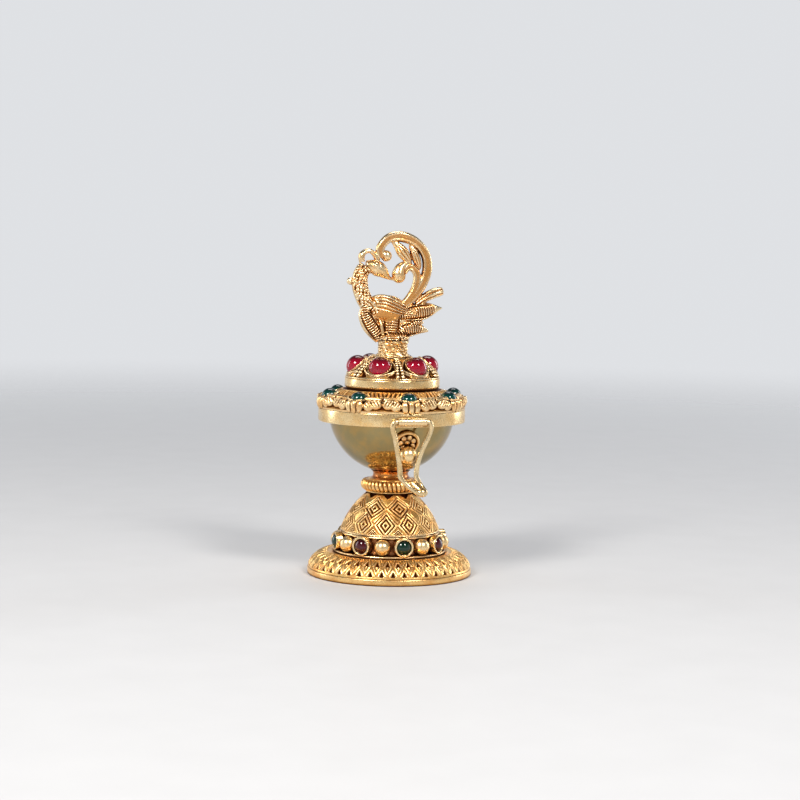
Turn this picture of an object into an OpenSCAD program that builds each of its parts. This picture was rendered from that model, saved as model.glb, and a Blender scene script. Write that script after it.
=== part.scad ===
// Footed powder box with a hinged, stone-set lid, a bird finial and a sprung wire clasp.
// +Z is up, the origin is the centre of the foot's underside, and the clasp faces -Y.

/* [Foot and gallery] */
// Outer radius of the foot plate
foot_r = 24; // [22:0.5:26]
// Radius of the plain wall behind the balls and stones
gallery_r = 14.2; // [13.6:0.1:14.4]
// Number of stones round the gallery, with a ball in each space
gallery_count = 8; // [6:2:8]
// Diameter of each gold ball
ball_d = 4.6; // [3.6:0.1:4.6]

/* [Bowl] */
// Outer radius of the round bowl
bowl_r = 18.4; // [18:0.1:18.6]
// Thickness of the bowl's wall
bowl_wall = 1.2; // [0.8:0.1:1.6]

/* [Lid] */
// Outer radius of the lid's band
band_r = 21.4; // [21.2:0.1:21.6]
// Height of the lid's band
band_h = 3.8; // [3.4:0.1:4]
// Number of stones round the lid's border
border_count = 8; // [6:1:8]
// Outer radius of the upper tier
tier_r = 13.85; // [13.5:0.05:13.9]
// Number of stones on the upper tier
tier_count = 6; // [4:1:6]

/* [Clasp] */
// Diameter of the sprung wire
wire_d = 1.44; // [1.3:0.02:1.46]
// Length of the tube that the wire turns in
tube_l = 8.3; // [7.5:0.1:8.6]
// Diameter of the ball that the wire snaps over
catch_d = 5; // [4.4:0.1:5]

/* [Hidden] */

$fn = 64;
gap = 0.03;                  // room left between seated pieces
slip = 0.06;                 // radial running clearance of the two hinges

// Heights of the stack, from the ground up
foot_top = 6.4;
dome_ring_z = 11.8;
dome_z = 13;
collar_z = 23.8;
stem_z = 28.1;
bowl_cz = 48;
rim_low_z = 45.5;
rim_z = 48.35;
band_z = 44.8;
plate_z = band_z + band_h;
tier_z = 54.4;
cone_z = 57.7;
neck_z = 63.2;
bird_z = 68.2;

// Stones: radius of the base and height of the dome
gallery_stone = [2.15, 1.3];
border_stone = [2.4, 2.1];
tier_stone = [3.25, 2.8];

// Walls of the lid's band and of the ring under the tier, and the play of the lid round the bowl
band_wall = 0.95;
tier_wall = 1;
lid_play = 0.4;

// Bolt and screw, the room round each in its pieces, and the stud of the catch
bolt_r = 1.5;
screw_r = 1.3;
bore_room = 0.1;
stud_r = 1.15;

// Hinge behind the lid
hinge_y = 22.8;
hinge_z = 44.9;
hinge_pin_r = 0.55;
knuckle_r = 1.2;
leaf_half = 1.8;
knuckle_start = 2;
knuckle_end = 4.6;

// Clasp in front of the lid
tube_y = -22.4;
tube_z = 46.5;
tube_r = 1;
catch_y = -18.7;
catch_z = 36.7;
rosette_z = 40.3;
rosette_r = 3.3;

// Flutes round the collar and petals round the rosette
flute_count = 28;
petal_count = 12;

gold = "#c9973f";
dark_gold = "#a8752c";
ruby = "#8f0d2b";
emerald = "#0e4a43";
steel = "#9a9a98";

// Arc through three points, as n steps
function centre3(a, b, c) =
    let (d = 2 * (a[0] * (b[1] - c[1]) + b[0] * (c[1] - a[1]) + c[0] * (a[1] - b[1])),
         a2 = a * a, b2 = b * b, c2 = c * c)
    [(a2 * (b[1] - c[1]) + b2 * (c[1] - a[1]) + c2 * (a[1] - b[1])) / d,
     (a2 * (c[0] - b[0]) + b2 * (a[0] - c[0]) + c2 * (b[0] - a[0])) / d];
function turn(a) = a > 180 ? a - 360 : a < -180 ? a + 360 : a;
function arc3(a, b, c, n) =
    let (o = centre3(a, b, c), r = norm(a - o),
         t0 = atan2(a[1] - o[1], a[0] - o[0]),
         sweep = turn(atan2(c[1] - o[1], c[0] - o[0]) - t0))
    [for (i = [0:n]) o + r * [cos(t0 + sweep * i / n), sin(t0 + sweep * i / n)]];

// Smooth route through hand-placed points, n steps a span
function knot(p, i) = p[min(max(i, 0), len(p) - 1)];
function blend4(a, b, c, d, t) =
    0.5 * (2 * b + (c - a) * t + (2 * a - 5 * b + 4 * c - d) * t * t
    + (3 * b - a - 3 * c + d) * t * t * t);
function route(p, n) =
    concat([for (i = [0:len(p) - 2], k = [0:n - 1])
        blend4(knot(p, i - 1), p[i], p[i + 1], knot(p, i + 2), k / n)], [p[len(p) - 1]]);
function heading(p, i) =
    let (d = knot(p, i + 1) - knot(p, i - 1)) d / norm(d);

// Flat ribbon along a route whose points are [x, z, half width]
module ribbon(points, n = 5) {
    p = route(points, n);
    last = len(p) - 1;
    mid = [for (q = p) [q[0], q[1]]];
    side = [for (i = [0:last]) let (h = heading(mid, i)) [-h[1], h[0]] * p[i][2]];
    polygon(concat([for (i = [0:last]) mid[i] + side[i]], [for (i = [last:-1:0]) mid[i] - side[i]]));
}

// Shape drawn in X and Z, given a thickness in Y
module upright(depth, y = 0) {
    translate([0, y + depth / 2, 0]) rotate([90, 0, 0]) linear_extrude(depth) children();
}

// Copies turned evenly about Z
module around(count, start = 0) {
    for (i = [0:count - 1]) rotate([0, 0, start + i * 360 / count]) children();
}

// Puts a stone's axis at radius r and height z, facing out and up by lift
module facing(r, z, lift) {
    translate([0, -r, z]) rotate([90 - lift, 0, 0]) children();
}

// Cabochon: flat base at z = 0, round top
module cabochon(stone) {
    base = stone[0];
    high = stone[1];
    ball = (base * base + high * high) / (2 * high);
    intersection() {
        translate([0, 0, high - ball]) sphere(ball, $fn = 48);
        cylinder(h = high + 1, r = base, $fn = 48);
    }
}

// Cup that holds a cabochon: its rim stands a little above the stone's base
module bezel(stone, wall, deep, lip) {
    difference() {
        translate([0, 0, -deep]) cylinder(h = deep + lip, r = stone[0] + gap + wall, $fn = 48);
        cylinder(h = lip + 1, r = stone[0] + gap, $fn = 48);
    }
}

// Plain ring of square section about Z
module ring(r_in, r_out, z0, z1) {
    rotate_extrude() translate([r_in, z0]) square([r_out - r_in, z1 - z0]);
}

/* Base ------------------------------------------------------------------ */

module foot_plate() color(gold) {
    braid = arc3([foot_r - 0.2, 2], [foot_r - 2.4, 5.3], [16.6, foot_top], 8);
    rotate_extrude($fn = 96)
        polygon(concat([[bolt_r + bore_room, 5], [17, 5], [20.4, 4.2], [22.2, 1.4], [22.4, 0], [foot_r, 0],
            [foot_r, 1.8]], braid, [[bolt_r + bore_room, foot_top]]));
}

module foot_ring() color(gold) {
    wire = 0.42;
    rotate_extrude() intersection() {
        translate([16, foot_top + wire - 0.05]) circle(wire, $fn = 24);
        translate([15, foot_top]) square([2, 2]);
    }
}

module gallery_wall() color(dark_gold) ring(gallery_r - 1, gallery_r, foot_top, dome_ring_z);

gallery_z = 9.8;
gallery_stone_r = 16.1;
module gallery_bezels() color(gold) difference() {
    around(gallery_count) facing(gallery_stone_r, gallery_z, 0) bezel(gallery_stone, 0.4, 2, 0.35);
    cylinder(h = dome_ring_z, r = gallery_r + gap);
    translate([0, 0, dome_ring_z - gap]) cylinder(h = 2, r = 14.8);
}

module gallery_stones(start) {
    around(gallery_count / 2, start) facing(gallery_stone_r, gallery_z, 0) cabochon(gallery_stone);
}
module gallery_emeralds() color(emerald) gallery_stones(0);
module gallery_rubies() color(ruby) gallery_stones(360 / gallery_count);

module gallery_balls() color(gold) difference() {
    around(gallery_count, 180 / gallery_count)
        translate([0, -15.1, gallery_z - 0.2]) sphere(d = ball_d, $fn = 40);
    cylinder(h = dome_ring_z + 1, r = gallery_r + gap);
}

module dome_ring() color(gold) rotate_extrude() {
    translate([gallery_r - 1, dome_ring_z]) square([0.95, dome_z - dome_ring_z]);
    translate([gallery_r - 0.05, (dome_ring_z + dome_z) / 2]) circle((dome_z - dome_ring_z) / 2, $fn = 24);
}

module dome() color(gold) {
    outside = arc3([gallery_r + 0.1, dome_z], [11.6, 18.4], [6.6, collar_z], 14);
    inside = arc3([12.9, dome_z], [10.4, 17.8], [5.4, collar_z - 1.2], 10);
    flat_top = [[bolt_r + bore_room, collar_z], [bolt_r + bore_room, collar_z - 1.2]];
    rotate_extrude($fn = 96)
        polygon(concat(outside, flat_top, [for (i = [len(inside) - 1:-1:0]) inside[i]]));
}

module fluted_collar() color(gold) difference() {
    swell = arc3([7, 24.7], [8.3, 26], [7.1, 27.4], 8);
    rotate_extrude()
        polygon(concat([[bolt_r + bore_room, collar_z], [6.4, collar_z], [7, 24.1]], swell,
            [[6.2, 27.6], [6, stem_z], [bolt_r + bore_room, stem_z]]));
    around(flute_count) translate([8.75, 0, 24.9]) cylinder(h = 2.6, r = 0.55, $fn = 16);
}

// Round of the bowl as an arc in radius and height, from radius r0 out to the rim
function bowl_arc(r, r0, n) =
    let (a0 = acos(r0 / r)) [for (i = [0:n]) let (a = -a0 * (1 - i / n)) [r * cos(a), bowl_cz + r * sin(a)]];

// Everything inside the bowl's outer face, for cutting what is fixed to it
module bowl_space(grow = 0) rotate_extrude($fn = 96)
    polygon(concat(bowl_arc(bowl_r + grow, 0, 36), [[0, bowl_cz]]));

module stem() color(gold) difference() {
    neck = arc3([6, stem_z], [5.1, 29.2], [6.1, 30.8], 8);
    rotate_extrude() polygon(concat([[bolt_r + bore_room, stem_z]], neck, [[bolt_r + bore_room, 30.8]]));
    bowl_space();
}

module bowl() color(gold) difference() {
    inside = bowl_arc(bowl_r - bowl_wall, bolt_r + bore_room, 36);
    rotate_extrude($fn = 96)
        polygon(concat(bowl_arc(bowl_r, bolt_r + bore_room, 36),
            [[bowl_r, rim_z], [bowl_r - bowl_wall, rim_z]],
            [for (i = [len(inside) - 1:-1:0]) inside[i]]));
    stud_axis() cylinder(h = 20, r = stud_r + 0.05, $fn = 24);
}

module bowl_rim() color(gold)
    ring(bowl_r + gap, band_r - band_wall - lid_play, rim_low_z, rim_z);

// Axis of the catch's stud: level, from the middle of the ball in through the bowl's wall
module stud_axis() {
    translate([0, catch_y, catch_z]) rotate([-90, 0, 0]) children();
}

module catch_rosette() color(dark_gold) difference() {
    tilt = asin((bowl_cz - rosette_z) / bowl_r);
    translate([0, -bowl_r * cos(tilt), rosette_z]) rotate([90 + tilt, 0, 0]) translate([0, 0, -1]) {
        cylinder(h = 2.1, r = rosette_r - 0.4, $fn = 48);
        around(petal_count) translate([0, rosette_r - 0.6, 0]) cylinder(h = 1.8, r = 0.6, $fn = 16);
    }
    bowl_space(gap);
    translate([0, catch_y, catch_z]) sphere(catch_d / 2 + gap, $fn = 48);
    stud_axis() cylinder(h = 20, r = stud_r + 0.1, $fn = 24);
}

module catch_ball() color(gold) {
    translate([0, catch_y, catch_z]) sphere(catch_d / 2, $fn = 48);
    stud_axis() cylinder(h = 7.4, r = stud_r, $fn = 24);
}

bolt_head_z = bowl_cz - bowl_r + bowl_wall + 0.45;
module stem_bolt() color(steel) {
    translate([0, 0, 2.2]) cylinder(h = bolt_head_z - 2.2, r = bolt_r, $fn = 32);
    translate([0, 0, bolt_head_z]) difference() {
        cylinder(h = 1.3, r = 3, $fn = 32);
        translate([-4, -0.35, 0.7]) cube([8, 0.7, 1]);
    }
}

module stem_washer() color(steel) ring(bolt_r + bore_room, 3.6, 4.4, 5);

module stem_nut() color(steel) translate([0, 0, 2.6]) difference() {
    cylinder(h = 1.8, r = 3, $fn = 6);
    translate([0, 0, -1]) cylinder(h = 4, r = bolt_r + gap);
}

// Cylinder along X, centred on a hinge
module barrel(x0, x1, y, z, r, sides = 40) {
    translate([x0, y, z]) rotate([0, 90, 0]) cylinder(h = x1 - x0, r = r, $fn = sides);
}

module hinge_leaf() color(gold) difference() {
    union() {
        barrel(-leaf_half, leaf_half, hinge_y, hinge_z, knuckle_r);
        rotate([90, 0, 90]) translate([0, 0, -leaf_half]) linear_extrude(2 * leaf_half)
            polygon([[hinge_y - 0.9, 44.5], [hinge_y + 1, 44.5], [hinge_y + 0.9, 43], [18.2, 37.4],
                [12, 37.4], [12, 42.8], [20.8, 42.8]]);
    }
    barrel(-5, 5, hinge_y, hinge_z, hinge_pin_r + 0.01);
    bowl_space(gap);
}

module hinge_pin() color(gold) {
    barrel(-knuckle_end - 0.4, knuckle_end + 0.4, hinge_y, hinge_z, hinge_pin_r, 32);
    for (side = [-1, 1]) translate([side * (knuckle_end + 0.35), hinge_y, hinge_z])
        rotate([0, 90, 0]) cylinder(h = 0.5, r = 0.85, center = true, $fn = 24);
}

/* Lid ------------------------------------------------------------------- */

module lid_band() color(gold) rotate_extrude($fn = 128)
    translate([band_r - band_wall, band_z]) square([band_wall, band_h]);

plate_edge = [[band_r, plate_z], [band_r, plate_z + 0.5]];
plate_slope = arc3([band_r - 0.4, plate_z + 0.9], [17.5, 52.3], [tier_r + 0.3, tier_z], 6);
module lid_plate() color(gold) rotate_extrude($fn = 96)
    polygon(concat([[band_r - band_wall, plate_z]], plate_edge, plate_slope,
        [[screw_r + bore_room, tier_z], [screw_r + bore_room, tier_z - 1], [tier_r - 0.3, tier_z - 1],
        [17, 51.3], [19.6, plate_z + 0.3]]));

// Everything under the sloping plate, for cutting what is seated on it
module under_plate() rotate_extrude($fn = 96)
    polygon(concat([[0, plate_z - 5], [band_r + gap, plate_z - 5], [band_r + gap, plate_z + 0.5]],
        [for (p = plate_slope) p + [gap, gap]], [[0, tier_z + gap]]));

border_r = 18.7;
border_z = 52.3;
border_lift = 72;
module border_casting() color(gold) difference() {
    union() {
        rotate_extrude() polygon([[17.2, 50], [band_r + 0.1, 49.1], [band_r + 0.2, 50.6],
            [20.6, 51.8], [18, 52.6], [17.2, 52.6]]);
        around(border_count) translate([0, -19.3, 49.1]) cylinder(h = 3.4, r = 2.75, $fn = 32);
        around(border_count, 180 / border_count) for (side = [-1, 1])
            rotate([0, 0, side * 6.2]) translate([0, -20.1, 49.1]) cylinder(h = 2.7, r = 1.75, $fn = 24);
    }
    under_plate();
    around(border_count) facing(border_r, border_z, border_lift)
        translate([0, 0, -1.2]) cylinder(h = 6, r = border_stone[0] + 0.4 + 2 * gap, $fn = 48);
}

module border_bezels() color(gold) difference() {
    around(border_count) facing(border_r, border_z, border_lift) bezel(border_stone, 0.4, 1.17, 0.7);
    under_plate();
}

module border_emeralds() color(emerald)
    around(border_count) facing(border_r, border_z, border_lift) cabochon(border_stone);

module tier_ring() color(gold) rotate_extrude($fn = 96)
    polygon([[tier_r - tier_wall, tier_z], [tier_r, tier_z], [tier_r, cone_z - 0.2],
        [tier_r - 0.2, cone_z], [tier_r - tier_wall, cone_z]]);

cone_slope = arc3([tier_r - 0.3, cone_z], [10.4, 60.9], [4.2, neck_z], 8);
module tier_cone_outside(grow = 0) rotate_extrude($fn = 96)
    polygon(concat([[0, cone_z - 3], [tier_r, cone_z - 3]], [for (p = cone_slope) p + [grow, grow]],
        [[0, neck_z + grow]]));

tier_stone_r = 10.6;
tier_stone_z = 61;
tier_lift = 48;
tier_turn = -5;
module on_tier() around(tier_count, 180 / tier_count + tier_turn)
    facing(tier_stone_r, tier_stone_z, tier_lift) children();

module tier_cone() color(dark_gold) difference() {
    rotate_extrude($fn = 96)
        polygon(concat([[tier_r - tier_wall, cone_z]], cone_slope, [[screw_r + bore_room, neck_z],
            [screw_r + bore_room, neck_z - 1], [4, neck_z - 1], [9.8, 60], [12, 58.3]]));
    on_tier() translate([0, 0, -3]) cylinder(h = 8, r = tier_stone[0] + 0.35 + 2 * gap, $fn = 48);
}

module tier_ribs() color(gold) difference() {
    around(tier_count, tier_turn) upright_yz(1.3)
        polygon(concat([for (p = cone_slope) p + [0.4, 0.6]], [[4.9, 61], [12, 57.9],
            [tier_r - 0.1, cone_z + 0.02]]));
    tier_cone_outside(gap);
    cylinder(h = cone_z + gap, r = 20);
    translate([0, 0, 60]) cylinder(h = 8, r = 4.7);
}

// Shape drawn in radius and height, facing -Y, given a thickness in X
module upright_yz(depth) {
    rotate([90, 0, -90]) translate([0, 0, -depth / 2]) linear_extrude(depth) children();
}

module tier_bezels() color(gold) difference() {
    on_tier() bezel(tier_stone, 0.35, 1.2, 0.5);
    cylinder(h = cone_z + gap, r = 20);
}

module tier_rubies() color(ruby) on_tier() cabochon(tier_stone);

module finial_neck() color(gold) difference() {
    rotate_extrude() polygon([[0, neck_z], [4.6, neck_z], [4.6, 64.2], [4.1, 64.8], [4.3, 65.3],
        [4, 65.8], [4.2, 66.5], [4, 67], [4.5, 68], [4.8, bird_z], [0, bird_z]]);
    translate([0, 0, neck_z - 1]) cylinder(h = 5, r = screw_r + gap);
}

module finial_screw() color(steel) {
    translate([0, 0, tier_z - 1.6]) cylinder(h = neck_z + 3.9 - tier_z + 1.6, r = screw_r, $fn = 32);
    translate([0, 0, tier_z - 2.7]) difference() {
        cylinder(h = 1.1, r = 2.4, $fn = 32);
        translate([-4, -0.3, -1]) cube([8, 0.6, 1.5]);
    }
}

module finial_washer() color(steel) ring(screw_r + bore_room, 3, tier_z - 1.6, tier_z - 1);

/* Bird: every outline is [x, z, half width], drawn in its own plane ------- */

tail_scroll = [[2.6, 78, 1.3], [5.4, 80.4, 1.4], [9.2, 85.9, 1.5], [9.9, 89, 1.45],
    [9.6, 92.3, 1.4], [8.2, 95, 1.4], [5.9, 97, 1.5], [3.2, 98.15, 1.6], [0.7, 98.4, 1.6],
    [-1.8, 97.8, 1.4], [-3.6, 96.1, 1.3], [-4.4, 94.2, 1.3], [-3.9, 92.2, 1.2]];
inner_scroll = [[2, 78, 1], [4.6, 80.6, 1.1], [6.2, 83.2, 1.15], [6.9, 85.8, 1.15],
    [6.6, 88, 1.1], [5.2, 89.4, 1.1], [2.9, 90.1, 1]];
neck_line = [[-6.9, 77.6, 2.3], [-8.4, 79.4, 2.35], [-9.6, 81.9, 2.35], [-10.2, 84.5, 2.35],
    [-10, 87.1, 2.25], [-9, 89.2, 2.1]];
head_line = [[-8.8, 89.5, 1.8], [-6.6, 89.6, 1.95], [-5, 89, 2.3], [-3.7, 88.3, 1.9], [-2.6, 87.35, 1.2],
    [-1.4, 86.5, 0.6], [0.3, 85.8, 0.3]];
crest_line = [[-9.7, 90.8, 0.8], [-9.8, 92.6, 0.9], [-9, 93.7, 0.8], [-7.4, 94.1, 0.7],
    [-6, 93, 0.7], [-4.9, 91, 0.8]];
left_leaf = [[-9.1, 78.4, 0.6], [-8.6, 75.6, 1.9], [-7.1, 72.8, 2.4], [-5.3, 70.4, 2.2], [-4, 68.2, 1.4]];
low_leaf = [[-0.9, 68.2, 2.9], [-0.8, 71, 3], [-0.6, 74.5, 3]];
low_right_leaf = [[1.4, 70, 1.6], [3.4, 71.2, 2.3], [5.6, 71.6, 2.3], [7.8, 71.6, 1.6],
    [10.7, 70.9, 0.3]];
right_leaf = [[1.4, 75.4, 1.4], [3.6, 75.9, 2.2], [6.2, 76.4, 2.6], [8.8, 76.8, 2.6], [11.6, 77.3, 1.7],
    [14.8, 77.7, 0.3]];
top_leaf = [[6.4, 78.8, 1], [9.6, 80.9, 1.3], [11.8, 82, 1.45], [14.7, 82.7, 1.1]];
bud_one = [[-0.8, 97, 0.4], [0.9, 95.6, 1.2], [2.4, 93.8, 1.75], [4, 91.8, 1.3], [5.2, 90, 0.5]];
bud_two = [[4.6, 96, 0.4], [5.7, 94, 1.1], [6.6, 92, 1.3], [7.2, 90, 1], [7.2, 88, 0.6]];

module peacock() color(gold) difference() {
    bird();
    translate([-20, -10, bird_z - 10]) cube([40, 20, 10]);
}

module bird() {
    upright(4.2) {
        ribbon(neck_line);
        ribbon(head_line);
        translate([-2.2, 77.5]) ellipse_2d(5.8, 4.05);
    }
    upright(3.2) {
        ribbon(tail_scroll);
        ribbon(inner_scroll);
        ribbon(left_leaf);
        ribbon(low_leaf);
        ribbon(low_right_leaf);
        ribbon(right_leaf);
        ribbon(top_leaf);
    }
    upright(2.2) {
        ribbon(bud_one);
        ribbon(bud_two);
        ribbon(crest_line);
    }
    translate([-2.4, 0, 92.8]) sphere(1.7, $fn = 24);
    translate([1.4, 0, 87.2]) sphere(2.3, $fn = 24);
    translate([-13, 0, 85.3]) sphere(1.1, $fn = 24);
    translate([0, 0, bird_z]) cylinder(h = 1.6, r = 4.4);
}

module ellipse_2d(a, b, n = 32) polygon([for (i = [0:n - 1]) [a * cos(i * 360 / n), b * sin(i * 360 / n)]]);

module clasp_tube() color(gold) difference() {
    union() {
        barrel(-tube_l / 2, tube_l / 2, tube_y, tube_z, tube_r);
        translate([-tube_l / 2, tube_y, tube_z - 0.5]) cube([tube_l, 2, 1]);
    }
    cylinder(h = 60, r = band_r + gap, $fn = 128);
    barrel(-6, 6, tube_y, tube_z, wire_d / 2 + slip);
}

module lid_knuckles() color(gold) difference() {
    width = knuckle_end - knuckle_start;
    for (x0 = [-knuckle_end, knuckle_start]) {
        barrel(x0, x0 + width, hinge_y, hinge_z, knuckle_r);
        translate([x0, 20, hinge_z]) cube([width, hinge_y - 20, knuckle_r]);
    }
    cylinder(h = 60, r = band_r + gap, $fn = 128);
    barrel(-6, 6, hinge_y, hinge_z, hinge_pin_r + slip);
}

/* Clasp wire -------------------------------------------------------------- */

// One side of the loop, from the tube down to the tip: [half width, y, z]
loop_side = [[tube_l / 2 - 0.3, tube_y, tube_z], [5.1, -22.4, 46.4], [5.6, -22.4, 45.3], [5.45, -22.2, 44],
    [4.5, -21.9, 41.2], [3.5, -21.4, 38], [2.75, -20.9, 35], [2.45, -20.6, 32.6], [2.3, -20.7, 30.4],
    [1.9, -21.2, 28.4], [1.5, -22.2, 27], [0.8, -23.1, 26.2]];
// The loop was bent by hand: its middle drifts to -X below lean_top, and its tip swings to +X
lean_top = 42;
tip_top = 31;
drift = 0.4;
tip_swing = 3.7;
function lean(z) = z > lean_top ? 0
    : z > tip_top ? -drift * sin(min(90, (lean_top - z) * 15))
    : -drift + tip_swing * pow((tip_top - z) / 4.8, 1.3);
loop_route = let (half = route(loop_side, 4), last = len(half) - 1)
    concat([for (p = half) [-p[0] + lean(p[2]), p[1], p[2]]],
        [for (i = [last:-1:0]) let (p = half[i]) [p[0] + lean(p[2]), p[1], p[2]]]);

// Wire swept along a route as one closed skin
module wire(path, r, sides = 12) {
    last = len(path) - 1;
    frames = [for (i = [0:last]) let (t = heading(path, i), u = cross(t, [0, 1, 0.2]), v = u / norm(u))
        [v, cross(t, v)]];
    skin = [for (i = [0:last], k = [0:sides - 1])
        path[i] + r * (frames[i][0] * cos(k * 360 / sides) + frames[i][1] * sin(k * 360 / sides))];
    walls = [for (i = [0:last - 1], k = [0:sides - 1]) let (n = (k + 1) % sides)
        [i * sides + k, (i + 1) * sides + k, (i + 1) * sides + n, i * sides + n]];
    ends = [[for (k = [0:sides - 1]) k], [for (k = [sides - 1:-1:0]) last * sides + k]];
    polyhedron(skin, concat(walls, ends));
}

module clasp_loop() color(gold) {
    barrel(-tube_l / 2 - 0.1, tube_l / 2 + 0.1, tube_y, tube_z, wire_d / 2, 32);
    wire(loop_route, wire_d / 2);
}

foot_plate();
foot_ring();
gallery_wall();
gallery_bezels();
gallery_rubies();
gallery_emeralds();
gallery_balls();
dome_ring();
dome();
fluted_collar();
stem();
bowl();
bowl_rim();
catch_rosette();
catch_ball();
stem_bolt();
stem_washer();
stem_nut();
hinge_leaf();
hinge_pin();
lid_band();
lid_plate();
border_casting();
border_bezels();
border_emeralds();
tier_ring();
tier_cone();
tier_ribs();
tier_bezels();
tier_rubies();
finial_neck();
peacock();
finial_screw();
finial_washer();
clasp_tube();
lid_knuckles();
clasp_loop();
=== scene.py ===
"""Looks of a footed kumkum box: cast and gilt brass, glass cabochons, a bird finial and a wire clasp.

The box's lengths are in millimetres until mesh_object() scales them to metres. Lights, camera and floor
are in metres. Angles round the box start at the front (-Y) and grow towards +X.
"""
import math

import bpy
import numpy as np
from mathutils import Matrix, Vector


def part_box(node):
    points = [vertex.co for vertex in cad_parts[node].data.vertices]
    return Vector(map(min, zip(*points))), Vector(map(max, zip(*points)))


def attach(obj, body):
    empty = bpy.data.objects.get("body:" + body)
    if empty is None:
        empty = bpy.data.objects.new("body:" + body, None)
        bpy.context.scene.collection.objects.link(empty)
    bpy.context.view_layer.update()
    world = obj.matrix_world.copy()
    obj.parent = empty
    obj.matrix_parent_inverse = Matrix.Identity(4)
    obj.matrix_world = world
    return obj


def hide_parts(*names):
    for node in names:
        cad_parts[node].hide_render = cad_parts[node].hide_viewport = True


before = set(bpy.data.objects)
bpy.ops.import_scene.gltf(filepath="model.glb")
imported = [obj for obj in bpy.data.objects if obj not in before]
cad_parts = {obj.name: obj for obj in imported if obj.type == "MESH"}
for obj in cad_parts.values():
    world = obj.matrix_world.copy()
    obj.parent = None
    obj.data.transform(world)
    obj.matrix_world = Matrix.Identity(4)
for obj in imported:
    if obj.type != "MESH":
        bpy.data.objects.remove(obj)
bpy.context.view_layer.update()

MM = 0.001
TAU = 2 * math.pi


def reach(node):
    """How far a CAD node reaches from the axis, in millimetres."""
    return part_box(node)[1][0] / MM


def heights(node):
    """Bottom and top of a CAD node, in millimetres."""
    low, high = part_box(node)
    return low[2] / MM, high[2] / MM


# Driving dimensions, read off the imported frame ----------

FOOT_R = reach("foot_plate")
GALLERY_R = reach("gallery_wall")
BOWL_R = reach("bowl")
BAND_R = reach("lid_band")
TIER_R = reach("tier_ring")
FOOT_TOP = heights("foot_ring")[0]
GALLERY_Z = sum(heights("gallery_bezels")) / 2
DOME_RING_Z = heights("dome_ring")[0]
DOME_Z = heights("dome")[0]
COLLAR_Z = heights("fluted_collar")[0]
STEM_Z = heights("stem")[0]
RIM_Z = heights("bowl")[1]
BAND_Z, PLATE_Z = heights("lid_band")
TIER_Z, CONE_Z = heights("tier_ring")
NECK_Z, BIRD_Z = heights("finial_neck")

# What no node's box gives: the bowl's middle height, walls, radii of holes, the tier's turn in degrees
BOWL_CZ = 48.0
BOWL_WALL = 1.2
DRUM_WALL = 1
BAND_WALL = 0.95
BOLT_HOLE = 1.6
SCREW_HOLE = 1.4
TIER_TURN = -5

# Stones: how many, (radius, height, lift) of their seats, (base radius, height) of the glass
GALLERY_COUNT, GALLERY_SEAT, GALLERY_STONE = 8, (16.1, GALLERY_Z, 0), (2.15, 1.3)
BORDER_COUNT, BORDER_SEAT, BORDER_STONE = 8, (18.7, 52.3, 72), (2.4, 2.1)
TIER_COUNT, TIER_SEAT, TIER_STONE = 6, (10.6, 61.0, 48), (3.25, 2.8)

# Gallery's gold balls: radius of one, and of the circle they stand on
BALL_R, BALL_AT = 2.35, 15.1


# Geometry helpers ----------

def arc3(a, b, c, n):
    """n + 1 points on the arc from a through b to c."""
    (ax, ay), (bx, by), (cx, cy) = a, b, c
    d = 2 * (ax * (by - cy) + bx * (cy - ay) + cx * (ay - by))
    a2, b2, c2 = ax * ax + ay * ay, bx * bx + by * by, cx * cx + cy * cy
    ox = (a2 * (by - cy) + b2 * (cy - ay) + c2 * (ay - by)) / d
    oy = (a2 * (cx - bx) + b2 * (ax - cx) + c2 * (bx - ax)) / d
    start = math.atan2(ay - oy, ax - ox)
    turn = (math.atan2(cy - oy, cx - ox) - start) % TAU
    if (math.atan2(by - oy, bx - ox) - start) % TAU > turn:
        turn -= TAU
    t = start + turn * np.linspace(0, 1, n + 1)
    r = math.hypot(ax - ox, ay - oy)
    return np.stack([ox + r * np.cos(t), oy + r * np.sin(t)], 1)


def rounded(points, radius, n=3):
    """Closed outline with every corner rounded, by at most a third of its shorter side."""
    p = np.array(points, float)
    out = []
    for i in range(len(p)):
        before, corner, after = p[i - 1], p[i], p[(i + 1) % len(p)]
        u, v = before - corner, after - corner
        lu, lv = np.linalg.norm(u), np.linalg.norm(v)
        cut = min(radius, lu / 3, lv / 3)
        a, b = corner + u / lu * cut, corner + v / lv * cut
        for t in np.linspace(0, 1, n + 1):
            out.append((1 - t) ** 2 * a + 2 * t * (1 - t) * corner + t * t * b)
    return np.array(out)


def spline(points, per_span):
    """Smooth route through the points, and any further columns such as a width."""
    p = np.array(points, float)
    q = np.vstack([2 * p[0] - p[1], p, 2 * p[-1] - p[-2]])
    t = np.linspace(0, 1, per_span, endpoint=False)[:, None]
    spans = []
    for a, b, c, d in zip(q, q[1:], q[2:], q[3:]):
        spans.append(0.5 * (2 * b + (c - a) * t + (2 * a - 5 * b + 4 * c - d) * t ** 2
                            + (3 * b - a - 3 * c + d) * t ** 3))
    return np.vstack(spans + [p[-1:]])


def smooth(x, low, high):
    """0 below low, 1 above high, and a soft step between."""
    t = np.clip((x - low) / (high - low), 0, 1)
    return t * t * (3 - 2 * t)


def quads(rows, cols, wrap_rows, wrap_cols):
    """Faces of a grid of points, numbered row by row."""
    i = np.arange(rows if wrap_rows else rows - 1)
    j = np.arange(cols if wrap_cols else cols - 1)
    i, j = (g.ravel() for g in np.meshgrid(i, j, indexing="ij"))
    i2, j2 = (i + 1) % rows, (j + 1) % cols
    return np.stack([i * cols + j, i * cols + j2, i2 * cols + j2, i2 * cols + j], 1).tolist()


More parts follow.
